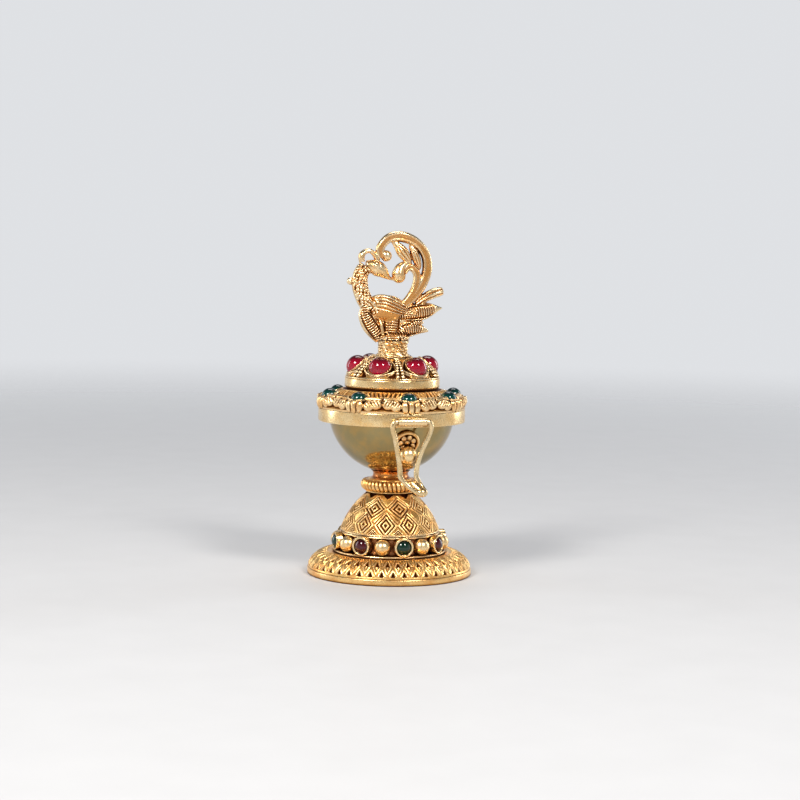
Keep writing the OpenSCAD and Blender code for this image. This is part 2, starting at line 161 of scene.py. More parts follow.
def section(inner, outer, low, high, radius, n=3):
    """Rounded cross-section of a plain ring."""
    return rounded([(inner, low), (outer, low), (outer, high), (inner, high)], radius, n)


def revolve(outline, steps=192, relief=None):
    """Closed outline of (radius, height) turned round Z.

    relief is (n, pattern): pattern(angle, run) gives how far each of the outline's first n points stands
    out, and how much painted shade it gets. run goes from 0 to 1 along them."""
    p = np.array(outline, float)
    n = len(p)
    angle = np.arange(steps) * TAU / steps
    r = np.repeat(p[:, :1], steps, 1)
    z = np.repeat(p[:, 1:], steps, 1)
    painted_shade = np.zeros((n, steps))
    if relief:
        run_n, pattern = relief
        along = np.gradient(p[:run_n], axis=0)
        out = np.stack([along[:, 1], -along[:, 0]], 1)
        out /= np.linalg.norm(out, axis=1)[:, None]
        run = np.concatenate([[0], np.cumsum(np.linalg.norm(np.diff(p[:run_n], axis=0), axis=1))])
        high, deep = pattern(angle[None, :], run[:, None] / run[-1])
        r[:run_n] += out[:, :1] * high
        z[:run_n] += out[:, 1:] * high
        painted_shade[:run_n] = deep
    points = np.stack([r * np.sin(angle), -r * np.cos(angle), z], 2).reshape(-1, 3)
    return points, quads(n, steps, True, True), painted_shade.ravel()


def torus(major, minor, z, steps=192, sides=16):
    t = np.arange(sides) * TAU / sides
    return revolve(np.stack([major + minor * np.cos(t), z + minor * np.sin(t)], 1), steps)


def sweep(route, radius, sides=12, closed=False, up=(0, 0, 1), flat=1.0):
    """Tube along a route. radius may change along it; flat below 1 thins it along up."""
    p = np.array(route, float)
    n = len(p)
    if closed:
        t = np.roll(p, -1, 0) - np.roll(p, 1, 0)
    else:
        t = np.gradient(p, axis=0)
    t /= np.linalg.norm(t, axis=1)[:, None]
    side = np.cross(t, np.array(up, float))
    side /= np.linalg.norm(side, axis=1)[:, None]
    over = np.cross(side, t)
    r = np.broadcast_to(np.asarray(radius, float).reshape(-1, 1, 1), (n, 1, 1))
    a = (np.arange(sides) * TAU / sides)[None, :, None]
    points = p[:, None] + r * (side[:, None] * np.cos(a) + flat * over[:, None] * np.sin(a))
    faces = quads(n, sides, closed, True)
    if not closed:
        faces.append(tuple(range(sides)))
        faces.append(tuple(range((n - 1) * sides, n * sides))[::-1])
    return points.reshape(-1, 3), faces, np.zeros(n * sides)


def ball(centre, radius, segments=24, stretch=(1, 1, 1)):
    """Sphere, or an ellipsoid, as a closed grid with small caps at its poles."""
    rings = segments // 2
    lat = np.linspace(-0.49, 0.49, rings) * math.pi
    lon = np.arange(segments) * TAU / segments
    lat, lon = np.meshgrid(lat, lon, indexing="ij")
    p = np.stack([np.cos(lat) * np.cos(lon), np.cos(lat) * np.sin(lon), np.sin(lat)], 2).reshape(-1, 3)
    faces = quads(rings, segments, False, True)
    faces.append(tuple(range(segments))[::-1])
    faces.append(tuple(range((rings - 1) * segments, rings * segments)))
    return np.array(centre) + radius * p * np.array(stretch), faces, np.zeros(len(p))


def moved(shape, matrix):
    m = np.array(matrix)
    points, faces, painted_shade = shape
    return points @ m[:3, :3].T + m[:3, 3], faces, painted_shade


def ring_of(count, start=0.0):
    """Angles, in radians, of count things spread evenly round the box."""
    return [math.radians(start) + i * TAU / count for i in range(count)]


def spin(shape, angle):
    return moved(shape, Matrix.Rotation(angle, 4, "Z"))


def seated(shapes, seat, count, start=0.0):
    """Copies of shapes made along +Z, on seats round the box: (radius, height, how many degrees up)."""
    r, z, lift = seat
    tilt = Matrix.Rotation(math.radians(90 - lift), 4, "X")
    places = [Matrix.Rotation(a, 4, "Z") @ Matrix.Translation((0, -r, z)) @ tilt
              for a in ring_of(count, start)]
    return [moved(shape, place) for place in places for shape in shapes]


def outward(points, faces):
    """True if the faces of a closed shape look outwards, which makes its volume positive."""
    fans = [(f[0], f[k], f[k + 1]) for f in faces for k in range(1, len(f) - 1)]
    a, b, c = points[np.array(fans).T]
    return np.einsum("ij,ij->", a, np.cross(b, c)) > 0


def set_painted_shade(mesh, painted_shade):
    """Painted shade at each point, 0 to 1, strongest deep in hollows, for the gold's colours."""
    attribute = mesh.attributes.get("painted_shade") or mesh.attributes.new("painted_shade", "FLOAT", "POINT")
    attribute.data.foreach_set("value", painted_shade.astype(np.float32))


def mesh_object(name, shapes):
    """One mesh in metres from closed shapes."""
    all_faces, base = [], 0
    for points, faces, _ in shapes:
        way = 1 if outward(points, faces) else -1
        all_faces += [[v + base for v in f[::way]] for f in faces]
        base += len(points)
    mesh = bpy.data.meshes.new(name)
    all_points = np.vstack([points for points, _, _ in shapes])
    mesh.from_pydata((all_points * MM).tolist(), [], all_faces)
    set_painted_shade(mesh, np.concatenate([painted_shade for _, _, painted_shade in shapes]))
    mesh.update()
    return linked(name, mesh)


def linked(name, data):
    """New object in the scene, from a mesh, a light or a camera."""
    thing = bpy.data.objects.new(name, data)
    bpy.context.scene.collection.objects.link(thing)
    return thing


def dress(piece, material, sharp):
    mesh = piece.data
    mesh.materials.clear()
    mesh.materials.append(material)
    mesh.polygons.foreach_set("use_smooth", [True] * len(mesh.polygons))
    mesh.set_sharp_from_angle(angle=math.radians(sharp))
    mesh.update()


def stand_for(piece, material, body, node, sharp):
    """Dresses a piece, lets it ride on a body and puts it in the place of a CAD node."""
    dress(piece, material, sharp)
    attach(piece, body)
    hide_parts(node)


def build(name, shapes, material, body, node, sharp=40):
    """One piece whose closed shapes stay as they are."""
    stand_for(mesh_object(name, shapes), material, body, node, sharp)


def fused(name, shapes, voxel, material, body, node, detail, soften=2):
    """Overlapping closed shapes grown together as one casting. detail(points) then moves its skin and gives
    its painted shade.
    """
    raw = mesh_object(name + "_raw", shapes)
    remesh = raw.modifiers.new("fuse", "REMESH")
    remesh.mode = "VOXEL"
    remesh.voxel_size = voxel * MM
    relax = raw.modifiers.new("relax", "SMOOTH")
    relax.factor = 0.5
    relax.iterations = soften
    bpy.context.view_layer.update()
    mesh = bpy.data.meshes.new_from_object(raw.evaluated_get(bpy.context.evaluated_depsgraph_get()))
    bpy.data.objects.remove(raw)
    points = np.empty(len(mesh.vertices) * 3)
    mesh.vertices.foreach_get("co", points)
    points, painted_shade = detail(points.reshape(-1, 3) / MM)
    mesh.vertices.foreach_set("co", (points * MM).ravel())
    set_painted_shade(mesh, painted_shade)
    mesh.name = name
    stand_for(linked(name, mesh), material, body, node, 180)


# Materials ----------

def add(tree, kind, **values):
    """A shader node with its properties (lower case) and its input sockets (named with a capital) set."""
    n = tree.nodes.new("ShaderNode" + kind)
    for key, value in values.items():
        if key[0].isupper():
            n.inputs[key].default_value = value
        else:
            setattr(n, key, value)
    return n


def feed(tree, socket, value):
    """Links a node's output to an input, or sets the input to a number or an (r, g, b) colour."""
    if isinstance(value, bpy.types.NodeSocket):
        tree.links.new(value, socket)
    else:
        socket.default_value = (*value, 1) if isinstance(value, tuple) else value


def noise(tree, where, **values):
    n = add(tree, "TexNoise", **values)
    feed(tree, n.inputs["Vector"], where)
    return n.outputs["Fac"]


def bumped(tree, bsdf, height, strength, depth):
    """Bump of depth metres on a shader, from a height."""
    bump = add(tree, "Bump", Strength=strength, Distance=depth)
    feed(tree, bump.inputs["Height"], height)
    feed(tree, bsdf.inputs["Normal"], bump.outputs["Normal"])


def material(name):
    m = bpy.data.materials.new(name)
    m.use_nodes = True
    return m, m.node_tree, m.node_tree.nodes["Principled BSDF"]


def mix_colour(tree, fac, a, b):
    n = add(tree, "Mix", data_type="RGBA")
    for socket, value in ((0, fac), (6, a), (7, b)):
        feed(tree, n.inputs[socket], value)
    return n.outputs[2]


def curve(tree, value, low, high, to_low=0.0, to_high=1.0):
    n = add(tree, "MapRange", interpolation_type="SMOOTHSTEP")
    ends = (("From Min", low), ("From Max", high), ("To Min", to_low), ("To Max", to_high))
    for socket, number in (("Value", value),) + ends:
        feed(tree, n.inputs[socket], number)
    return n.outputs["Result"]


def maths(tree, operation, a, b):
    n = add(tree, "Math", operation=operation)
    for socket, value in zip(n.inputs, (a, b)):
        feed(tree, socket, value)
    return n.outputs[0]


SHADE_AND_STAIN_COLOUR = (0.075, 0.018, 0.004)  # painted shade in the deepest recesses and between parts, and the deepest stain spots there
EDGE_HIGHLIGHT = (1.0, 0.86, 0.6)  # painted highlight on sharp edges
SHADE_REACH = 1.3 * MM


def gold(name, bright, warm, rough, grain, depth, shade_and_stain_strength=1.0, stain_and_shade_tint=(0.55, 0.55, 0.55)):
    """Gilt brass: painted highlight on its edges, warm where plating pools, painted shade that turns it brown
    in its hollows and between parts, and stain spots.

    grain is the size in millimetres of the casting's texture, and depth how far it stands out.
    stain_and_shade_tint is what is left of the warm colour where painted shade and stain spots start."""
    m, tree, bsdf = material(name)
    where = add(tree, "TexCoord").outputs["Object"]
    cloud = noise(tree, where, Scale=210.0, Detail=4.0, Roughness=0.6)
    fine = noise(tree, where, Scale=1000 / grain, Detail=5.0, Roughness=0.65)
    blotch = noise(tree, where, Scale=900.0, Detail=2.0)
    # Painted shade: ambient occlusion darkens the colour in creases, recesses and between parts, added to the
    # painted_shade attribute
    shade = add(tree, "AmbientOcclusion", samples=8, Distance=SHADE_REACH)
    hollow = curve(tree, shade.outputs["AO"], 0.92, 0.38)
    painted_shade = add(tree, "Attribute", attribute_name="painted_shade").outputs["Fac"]
    # Painted highlight: sharp edges, found from how pointed the surface is, are made paler
    edge = curve(tree, add(tree, "NewGeometry").outputs["Pointiness"], 0.5, 0.56)
    # Stain spots at random, stronger where the painted shade falls
    speckle = curve(tree, blotch, 0.5, 0.72, 0.0, 0.3 * shade_and_stain_strength)
    speckled = maths(tree, "MULTIPLY", speckle, maths(tree, "ADD", hollow, 0.25))
    shade_and_stains = maths(tree, "MAXIMUM", maths(tree, "MULTIPLY", hollow, 0.9 * shade_and_stain_strength), painted_shade)
    shade_and_stains = maths(tree, "MAXIMUM", shade_and_stains, speckled)
    face = mix_colour(tree, curve(tree, cloud, 0.38, 0.66), bright, warm)
    highlit_edge = tuple(c * 0.4 + 0.6 * pale for c, pale in zip(bright, EDGE_HIGHLIGHT))
    face = mix_colour(tree, maths(tree, "MULTIPLY", edge, 0.6), face, highlit_edge)
    # Painted shade and stain spots turn the colour to a dim warm tone, and the deepest to a deep brown
    shaded_and_stained = tuple(c * left for c, left in zip(warm, stain_and_shade_tint))
    middle = mix_colour(tree, curve(tree, shade_and_stains, 0.0, 0.5), face, shaded_and_stained)
    colour = mix_colour(tree, curve(tree, shade_and_stains, 0.35, 1.0), middle, SHADE_AND_STAIN_COLOUR)
    feed(tree, bsdf.inputs["Base Color"], colour)
    feed(tree, bsdf.inputs["Metallic"], 1.0)
    worn = curve(tree, fine, 0.3, 0.7, rough - 0.06, rough + 0.08)
    feed(tree, bsdf.inputs["Roughness"], maths(tree, "ADD", worn, maths(tree, "MULTIPLY", shade_and_stains, 0.3)))
    bumped(tree, bsdf, fine, 1.0, depth * MM)
    return m


def stone_glass(name, colour, deep, clear):
    """Foil-backed glass with painted light: painted shade where it faces up, and a painted glow low on its
    side.
    """
    m, tree, bsdf = material(name)
    where = add(tree, "TexCoord")
    cloud = noise(tree, where.outputs["Object"], Scale=420.0, Detail=3.0)
    way = add(tree, "SeparateXYZ")
    feed(tree, way.inputs[0], where.outputs["Normal"])
    # Painted shade where the stone faces up, with random cloudy patches; elsewhere the colour of the painted
    # glow
    upward = curve(tree, way.outputs["Z"], 0.25, 0.95, 0.0, 0.85)
    facing_shade_and_cloud = maths(tree, "ADD", upward, curve(tree, cloud, 0.35, 0.7, 0.0, 0.25))
    feed(tree, bsdf.inputs["Base Color"], mix_colour(tree, facing_shade_and_cloud, colour, deep))
    for socket, value in (("Roughness", 0.06), ("IOR", 1.5), ("Transmission Weight", clear),
                          ("Coat Weight", 0.2), ("Coat Roughness", 0.02)):
        bsdf.inputs[socket].default_value = value
    bumped(tree, bsdf, cloud, 0.25, 0.02 * MM)
    return m


def plated_steel():
    m, tree, bsdf = material("plated_steel")
    marks = noise(tree, add(tree, "TexCoord").outputs["Object"], Scale=2500.0, Detail=4.0)
    zinc = mix_colour(tree, marks, (0.5, 0.5, 0.49), (0.7, 0.69, 0.66))
    feed(tree, bsdf.inputs["Base Color"], zinc)
    feed(tree, bsdf.inputs["Roughness"], curve(tree, marks, 0.3, 0.7, 0.25, 0.45))
    feed(tree, bsdf.inputs["Metallic"], 1.0)
    return m


# Golds: name, pale and warm colours, roughness, grain, depth of the grain, strength of painted shade and
# stain spots
ANTIQUE = gold("antique_gold", (0.97, 0.61, 0.215), (0.85, 0.39, 0.085), 0.31, 0.35, 0.025)
CASTING = gold("cast_gold", (0.97, 0.70, 0.36), (0.84, 0.46, 0.16), 0.27, 0.22, 0.025, 1.1)
BIRD_GOLD = gold("bird_gold", (0.98, 0.77, 0.47), (0.83, 0.50, 0.20), 0.24, 0.22, 0.02, 1.1,
                 (0.84, 0.58, 0.30))
SATIN = gold("satin_gold", (0.95, 0.70, 0.36), (0.86, 0.54, 0.21), 0.24, 0.5, 0.003, 0.6)
# The bowl's gold, darkened to olive: a painted reflection of the dim studio round it
BOWL_REFLECTION_GOLD = gold("bowl_painted_reflection_gold", (0.33, 0.26, 0.12), (0.43, 0.285, 0.105), 0.13, 0.5, 0.003, 0.35)
# Darker copy of the gold: painted shade on the gallery's drum behind the balls and cups
SHADOWED = gold("drum_painted_shade_gold", (0.42, 0.15, 0.04), (0.26, 0.07, 0.015), 0.36, 0.3, 0.03, 1.2)
WIRE_GOLD = gold("wire_gold", (0.82, 0.63, 0.35), (0.70, 0.47, 0.20), 0.24, 0.5, 0.003, 0.7)
BALL_GOLD = gold("ball_gold", (0.95, 0.68, 0.33), (0.90, 0.55, 0.21), 0.30, 0.5, 0.004, 0.7)
# Darker, redder copy of the gold: painted shade and a painted reflection of gold on the stem's neck in its
# cavity
NECK_SHADE_GOLD = gold("neck_painted_shade_gold", (0.66, 0.29, 0.08), (0.40, 0.12, 0.03), 0.28, 0.5, 0.004, 0.8)

# Glasses: name, colour of the painted glow low on the side, colour painted where it faces up and in random
# patches, how clear
RUBY = stone_glass("ruby_glass", (0.46, 0.0, 0.026), (0.06, 0.0, 0.004), 0.35)
GARNET = stone_glass("garnet_glass", (0.06, 0.0, 0.003), (0.012, 0.0, 0.001), 0.08)
EMERALD = stone_glass("emerald_glass", (0.0, 0.075, 0.055), (0.0, 0.008, 0.012), 0.3)
DEEP_GREEN = stone_glass("deep_green_glass", (0.0, 0.022, 0.010), (0.0, 0.004, 0.003), 0.08)
STEEL = plated_steel()


# Foot, gallery and dome ----------

PLAITS = 45
FLUTES = 40
FINE = 880  # steps round a piece that is chased all over


def plait(angle, run, pit):
    """One row of the plait: small triangular pits, point up, that braid paints in shade, with three slanting
    strands on each side.
    """
    across = np.abs((angle * PLAITS / TAU) % 1 - 0.5)
    slant = across + 0.38 * run
    strands = np.abs(np.sin(math.pi * 2.5 * np.clip((slant - pit) / (0.88 - pit), 0, 1))) ** 0.7
    hole = 1 - smooth(slant, pit - 0.06, pit + 0.05)
    return strands * (1 - hole), hole


def braid(angle, run):
    """Two rows of plaiting over the foot's rounded top."""
    lower = (run - 0.07) / 0.33
    upper = (run - 0.42) / 0.40
    half = 0.5 * TAU / PLAITS
    low_strand, low_hole = plait(angle, np.clip(lower, 0, 1), 0.16)
    top_strand, top_hole = plait(angle + half, np.clip(upper, 0, 1), 0.19)
    in_low = smooth(lower, -0.06, 0.04) * (1 - smooth(lower, 0.96, 1.08))
    in_top = smooth(upper, -0.06, 0.04) * (1 - smooth(upper, 0.90, 1.08))
    strand = in_low * low_strand + in_top * top_strand
    hole = in_low * low_hole + in_top * top_hole
    plaited = in_low + in_top
    # Painted shade in the pits and between the strands
    painted_shade = np.clip(hole * 0.95 + plaited * 0.5 * (1 - strand) ** 2, 0, 1)
    return 0.34 * strand - 0.4 * hole - 0.12 * plaited, painted_shade


def make_foot():
    top = arc3((FOOT_R - 0.2, 2.0), (FOOT_R - 2.4, 5.3), (16.6, FOOT_TOP), 80)
    under = rounded([(BOLT_HOLE, FOOT_TOP), (BOLT_HOLE, 5), (17, 5), (20.4, 4.2), (22.2, 1.4), (22.4, 0),
                     (FOOT_R, 0), (FOOT_R, 1.8)], 0.3)
    outline = np.vstack([top, under])
    build("foot_plate_cast", [revolve(outline, FINE, (len(top), braid))], ANTIQUE,
          "base", "foot_plate", 50)
    wires = [torus(16, 0.42, FOOT_TOP + 0.4), torus(15.2, 0.3, FOOT_TOP + 0.28)]
    build("foot_ring_wire", wires, CASTING, "base", "foot_ring")


def cabochon(base, high, under=0.1):
    """Polished stone with a round top, its flat base at height 0."""
    size = (base * base + high * high) / (2 * high)
    across = base * 0.68
    shoulder = (across, high - size + math.sqrt(size ** 2 - across ** 2))
    top = arc3((0.01, high), shoulder, (base, 0), 14)
    return revolve(np.vstack([[(0.01, -under)], top, [(base, -under)]]), 48)


def bezel(inner, wall, deep, lip):
    """Cup round a stone, with a rolled rim."""
    outer = inner + wall
    return revolve(rounded([(0.01, -deep), (outer, -deep), (outer, lip), (inner, lip), (inner, -0.15),
                            (0.01, -0.15)], wall * 0.9, 5), 56)


def make_gallery():
    inner = GALLERY_R - DRUM_WALL
    wall = section(inner, GALLERY_R, FOOT_TOP, DOME_RING_Z, 0.1)
    build("gallery_drum", [revolve(wall)], SHADOWED, "base", "gallery_wall")
    cup = bezel(GALLERY_STONE[0], 0.62, 1.75, 0.5)
    build("gallery_cups", seated([cup], GALLERY_SEAT, GALLERY_COUNT), SATIN,
          "base", "gallery_bezels")
    stone = cabochon(*GALLERY_STONE)
    kinds = (("gallery_emeralds", "emerald", DEEP_GREEN, 0), ("gallery_rubies", "ruby", GARNET, 45))
    for node, slot, glass, start in kinds:
        stones = seated([stone], GALLERY_SEAT, GALLERY_COUNT // 2, start)
        build(node + "_glass", stones, glass, "base", node)
    balls = [ball((BALL_AT * math.sin(a), -BALL_AT * math.cos(a), GALLERY_Z - 0.2), BALL_R, 36)
             for a in ring_of(GALLERY_COUNT, 22.5)]
    build("gallery_gold_balls", balls, BALL_GOLD, "base", "gallery_balls")


# Rows of diamonds on the dome: how many, degrees of one, run of the middle, half width, half height in run
DOME_ROWS = [(12, -20.0, 0.22, 15.5, 0.35), (9, 0.0, 0.61, 21.5, 0.31), (12, -5.0, -0.02, 9.0, 0.17)]
NOTCHES = (9, -20.0, 1.02, 20.0, 0.20)


def from_middle(angle, run, row):
    """How far a point lies from its row's nearest diamond: 0 in the middle, 1 on the outline."""
    count, first, middle, half_width, half_height = row
    turns = (np.degrees(angle) - first) * count / 360
    across = np.abs(turns - np.round(turns)) * 360 / count
    return across / half_width + np.abs(run - middle) / half_height


def groove(d, at, width):
    return np.exp(-((d - at) / width) ** 2)


def lattice(angle, run):
    """Diamonds inside diamonds, with a pit in the middle of each and notches round the top, and painted shade
    in the pits, grooves and notches.
    """
    d = from_middle(angle, run, DOME_ROWS[0])
    for row in DOME_ROWS[1:]:
        d = np.minimum(d, from_middle(angle, run, row))
    notch = 1 - smooth(from_middle(angle, run, NOTCHES), 0.72, 0.84)
    pit = 1 - smooth(d, 0.09, 0.17)
    lines = groove(d, 0.40, 0.07) + 0.85 * groove(d, 0.72, 0.055) + 0.5 * groove(d, 1.02, 0.05)
    deep = np.clip(pit + lines, 0, 1) * (1 - notch)
    edge = smooth(run, 0.0, 0.03)
    carved = (0.2 - 0.5 * deep) * edge * (1 - notch)
    return carved - 0.75 * notch * (1 - smooth(run, 0.985, 1.0)), np.maximum(deep * edge * 0.85, notch)


def make_dome():
    wire = (DOME_Z - DOME_RING_Z) / 2
    inner, outer = GALLERY_R - DRUM_WALL, GALLERY_R + 0.1
    band = section(inner, outer, DOME_RING_Z, DOME_Z, 0.1)
    low_wire = torus(outer, wire * 0.62, DOME_RING_Z + wire * 0.7)
    top_wire = torus(GALLERY_R + 0.02, wire * 0.42, DOME_Z - 0.2)
    build("dome_ring_wire", [revolve(band), low_wire, top_wire], CASTING,
          "base", "dome_ring")
    outside = arc3((outer, DOME_Z), (11.6, 18.4), (6.6, COLLAR_Z), 96)
    inside = arc3((12.9, DOME_Z), (10.4, 17.8), (5.4, COLLAR_Z - 1.2), 12)[::-1]
    hole = [(BOLT_HOLE, COLLAR_Z), (BOLT_HOLE, COLLAR_Z - 1.2)]
    outline = np.vstack([outside, hole, inside])
    build("dome_lattice", [revolve(outline, FINE, (len(outside), lattice))], ANTIQUE,
          "base", "dome", 50)


def flutes(angle, run):
    """Slanting flutes between two plain edges."""
    phase = (angle + 0.09 * run) * FLUTES / TAU
    lobe = np.abs(np.sin(math.pi * phase))
    body = smooth(run, 0.04, 0.16) * (1 - smooth(run, 0.84, 0.96))
    # The second value is painted shade in the valleys between the flutes
    return 0.55 * (lobe ** 0.7 - 0.6) * body, (1 - lobe) ** 3 * body * 0.9


def make_stem():
    swell = arc3((6.7, COLLAR_Z + 0.95), (8.5, COLLAR_Z + 2.35), (6.9, COLLAR_Z + 3.85), 34)
    rest = rounded([(6.6, COLLAR_Z + 3.9), (6.3, COLLAR_Z + 4.2), (6.0, STEM_Z), (BOLT_HOLE, STEM_Z),
                    (BOLT_HOLE, COLLAR_Z), (5.9, COLLAR_Z), (7.3, COLLAR_Z + 0.35),
                    (7.2, COLLAR_Z + 0.75)], 0.25)
    collar = revolve(np.vstack([swell, rest]), 640, (len(swell), flutes))
    build("fluted_collar_cast", [collar], ANTIQUE, "base", "fluted_collar", 60)
    neck = arc3((5.9, STEM_Z), (5.1, 29.2), (5.75, 30.35), 12)
    seat = [(r, BOWL_CZ - math.sqrt(BOWL_R ** 2 - r * r)) for r in (5.0, 3.5, BOLT_HOLE)]
    build("stem_neck", [revolve(np.vstack([neck, seat, [(BOLT_HOLE, STEM_Z)]]))], NECK_SHADE_GOLD,
          "base", "stem")


def bowl_arc(r, steps):
    """Outline of the bowl from its bolt hole up to its middle height."""
    start = math.acos(BOLT_HOLE / r)
    return [(r * math.cos(a), BOWL_CZ - r * math.sin(a)) for a in np.linspace(start, 0, steps)]


def make_bowl():
    outside, inside = bowl_arc(BOWL_R, 64), bowl_arc(BOWL_R - BOWL_WALL, 48)
    rim = [(BOWL_R - 0.15, RIM_Z), (BOWL_R - BOWL_WALL + 0.15, RIM_Z)]
    build("bowl_spun", [revolve(np.vstack([outside, rim, inside[::-1]]), 256)], BOWL_REFLECTION_GOLD,
          "base", "bowl")
    ring = section(BOWL_R + 0.02, reach("bowl_rim"), *heights("bowl_rim"), 0.3)
    build("bowl_rim_ring", [revolve(ring)], SATIN, "base", "bowl_rim")


def make_catch():
    """The ball that the wire snaps over, and the fluted rosette that it stands on."""
    centre, ball_r = (0, -18.7, 36.7), reach("catch_ball")
    stud = rounded([(0.01, 0), (1.5, 0), (1.25, 1.2), (1.15, 3), (1.15, 6.6), (0.01, 6.6)], 0.3)
    back = Matrix.Translation(centre) @ Matrix.Rotation(math.radians(-90), 4, "X")
    build("catch_ball_stud", [ball(centre, ball_r, 48), moved(revolve(stud, 32), back)], BALL_GOLD,
          "base", "catch_ball")

    disc_r, below_top = 3.3, 3.0
    disc_z = heights("catch_rosette")[1] - below_top
    tilt = math.asin((BOWL_CZ - disc_z) / BOWL_R)
    on_wall = Matrix.Translation((0, -BOWL_R * math.cos(tilt), disc_z))
    seat = on_wall @ Matrix.Rotation(math.radians(90) + tilt, 4, "X")
    disc = rounded([(0.01, 0.75), (1.7, 0.75), (2.0, 0.35), (2.65, 0.3), (2.75, 1.0), (disc_r, 0.95),
                    (disc_r, -0.8), (0.01, -0.8)], 0.12)
    hood = torus(disc_r - 0.1, 0.48, 0.75, 72)
    facing_shade_and_cloud = ball((0, 0, 0.6), 1, 20, (1.0, 1.0, 0.6))
    petals = [ball((1.85 * math.sin(a), 1.85 * math.cos(a), 0.75), 1, 16, (0.84, 0.92, 0.8))
              for a in ring_of(7, 14)]
    rosette = [moved(shape, seat) for shape in [revolve(disc, 96), hood, facing_shade_and_cloud] + petals]
    build("catch_rosette_cast", rosette, ANTIQUE, "base", "catch_rosette", 60)


# Lid ----------

PLATE_RUN = arc3((BAND_R - 0.4, PLATE_Z + 0.9), (17.5, 52.3), (TIER_R + 0.3, TIER_Z), 48)
CONE_RUN = arc3((TIER_R - 0.3, CONE_Z), (10.4, 60.9), (4.2, NECK_Z), 40)


def leaf_grooves(angle, run):
    """Leaf ribs on the lid's plate that splay away from each stone, with painted shade between the ribs and a
    painted shadow in the seam under the tier.
    """
    turns = angle * BORDER_COUNT / TAU
    from_stone = np.abs(turns - np.round(turns)) * 360 / BORDER_COUNT
    rib = np.abs(np.sin(math.pi * (from_stone - 9 * (1 - run)) / 4.6)) ** 0.8
    body = smooth(run, 0.38, 0.5) * (1 - smooth(run, 0.86, 0.93))
    seam = smooth(run, 0.945, 0.97)
    return 0.5 * (rib - 0.75) * body - 0.3 * seam, np.clip((1 - rib) * 1.5, 0, 1) * body * 0.95 + seam


def make_lid():
    inner = BAND_R - BAND_WALL
    band = section(inner, BAND_R, BAND_Z, PLATE_Z, 0.35, 5)
    build("lid_band_ring", [revolve(band, 256)], SATIN, "lid", "lid_band")
    under = [(SCREW_HOLE, TIER_Z), (SCREW_HOLE, TIER_Z - 1), (TIER_R - 0.3, TIER_Z - 1), (17, 51.3),
             (19.6, PLATE_Z + 0.3), (inner, PLATE_Z), (BAND_R - 0.1, PLATE_Z), (BAND_R, PLATE_Z + 0.5)]
    plate = revolve(np.vstack([PLATE_RUN, under]), 840, (len(PLATE_RUN), leaf_grooves))
    build("lid_plate_cast", [plate], ANTIQUE, "lid", "lid_plate", 50)


def lobe(x, z, width, height, tilt, y, stand):
    """Rounded lobe on the border's front, leaning over by some degrees."""
    shape = ball((0, 0, 0), 1, 20, (width / 2, stand, height / 2))
    return moved(shape, Matrix.Translation((x, y, z)) @ Matrix.Rotation(math.radians(tilt), 4, "Y"))


def ridge(points, thick):
    """Ribbon that lies over the border through (x, y, z) points."""
    p = spline(points, 5)
    t = np.clip(np.linspace(0, 1, len(p)), 0.04, 0.96)
    return sweep(p, thick * (0.35 + 0.65 * np.sin(math.pi * t) ** 0.5), 10, up=(0, -1, 0.5), flat=0.8)


def border_fan():
    """Under a stone: three upright petals, narrowing downwards, below a crescent of fine beads."""
    shapes = [lobe(1.7 * k, 50.3, 2.1, 4.0 - 0.4 * abs(k), 7 * k, -21.3 + 0.15 * abs(k), 0.95)
              for k in (-1, 0, 1)]
    for x in np.linspace(-2.1, 2.1, 8):
        shapes.append(ball((x, -21.0 + 0.06 * x * x, 52.1 + 0.05 * x * x), 0.3, 8))
    return shapes


def border_scroll(side):
    """Between two stones: half of a two-lobed bump, chased with short ribs, and a curl over it."""
    shapes = [lobe(side * 1.75, 50.95, 3.5, 2.7, side * 4, -20.75, 1.15),
              lobe(side * 3.85, 50.55, 3.3, 3.2, side * 12, -20.4, 1.2)]
    for x in (1.1, 1.9, 2.7, 3.5):
        shapes.append(ridge([(side * x, -21.85 + 0.1 * x, 50.4), (side * (x + 0.1), -21.75 + 0.1 * x, 51.2),
                             (side * (x + 0.2), -20.9, 52.0)], 0.22))
    shapes.append(ridge([(side * 0.3, -21.2, 51.8), (side * 2.2, -21.4, 52.1), (side * 4.1, -21.1, 51.7),
                         (side * 5.1, -20.9, 50.6)], 0.36))
    return shapes


def border_ledge():
    """Smooth ledge that runs from one stone's setting to the next."""
    r, z = 19.6, 52.35
    turns = np.radians(np.linspace(-15, 15, 17))
    return sweep([(r * math.sin(a), -r * math.cos(a), z) for a in turns], 0.78, 14)


BORDER_CORE = [(17.0, 51.2), (20.6, 48.9), (20.9, 49.6), (20.5, 51.0), (19.0, 52.0), (17.1, 52.7)]


